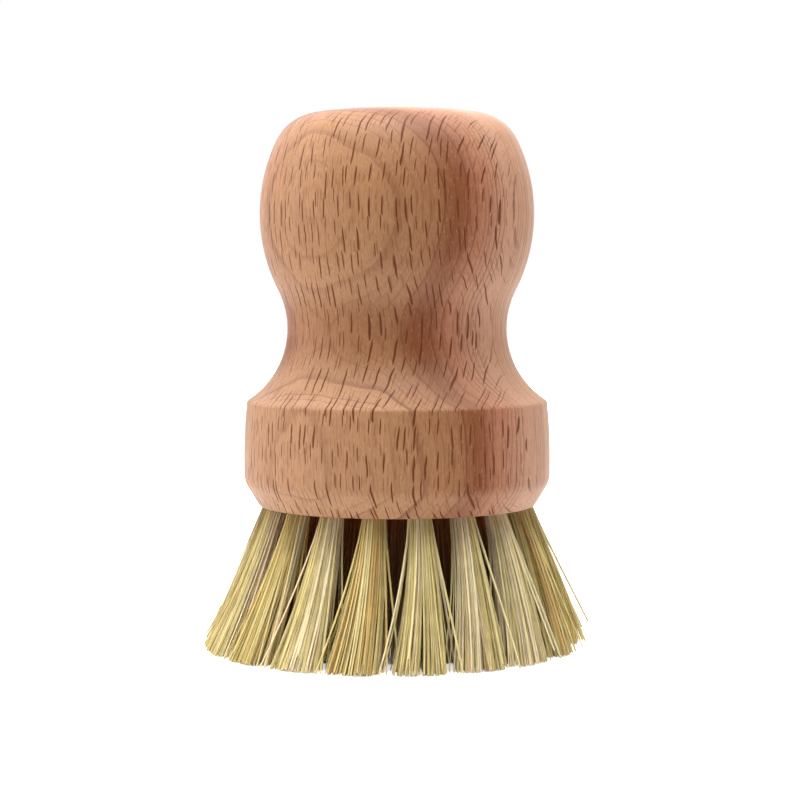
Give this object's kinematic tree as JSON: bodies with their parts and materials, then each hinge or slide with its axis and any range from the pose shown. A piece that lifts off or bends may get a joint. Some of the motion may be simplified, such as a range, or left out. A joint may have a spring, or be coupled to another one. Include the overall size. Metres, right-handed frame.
{
  "type": "palm brush",
  "caption": "Round palm brush: a turned beech knob and block in one piece, with leaning rings of stiff plant-fibre tufts.",
  "frame": {"origin": "on the brush's axis, in the flat plane of the trimmed bristle tips", "axes": "+Z along the axis, from the bristle tips up to the crown of the knob; +X points at the first tuft of each ring"},
  "size_m": [0.0638, 0.0632, 0.088],
  "materials": {
    "beech": "turned, sanded and oiled",
    "fibre": "undyed stiff plant fibre",
    "anchor_wire": "drawn flat wire"
  },
  "bodies": {
    "root": {"handle": "beech", "anchors_centre": "anchor_wire", "anchors_inner": "anchor_wire", "anchors_middle": "anchor_wire", "anchors_outer": "anchor_wire", "tuft_centre": "fibre", "tuft_inner_01": "fibre", "tuft_inner_02": "fibre", "tuft_inner_03": "fibre", "tuft_inner_04": "fibre", "tuft_inner_05": "fibre", "tuft_inner_06": "fibre", "tuft_middle_01": "fibre", "tuft_middle_02": "fibre", "tuft_middle_03": "fibre", "tuft_middle_04": "fibre", "tuft_middle_05": "fibre", "tuft_middle_06": "fibre", "tuft_middle_07": "fibre", "tuft_middle_08": "fibre", "tuft_middle_09": "fibre", "tuft_middle_10": "fibre", "tuft_middle_11": "fibre", "tuft_middle_12": "fibre", "tuft_outer_01": "fibre", "tuft_outer_02": "fibre", "tuft_outer_03": "fibre", "tuft_outer_04": "fibre", "tuft_outer_05": "fibre", "tuft_outer_06": "fibre", "tuft_outer_07": "fibre", "tuft_outer_08": "fibre", "tuft_outer_09": "fibre", "tuft_outer_10": "fibre", "tuft_outer_11": "fibre", "tuft_outer_12": "fibre", "tuft_outer_13": "fibre", "tuft_outer_14": "fibre", "tuft_outer_15": "fibre", "tuft_outer_16": "fibre", "tuft_outer_17": "fibre", "tuft_outer_18": "fibre"}
  },
  "joints": []
}
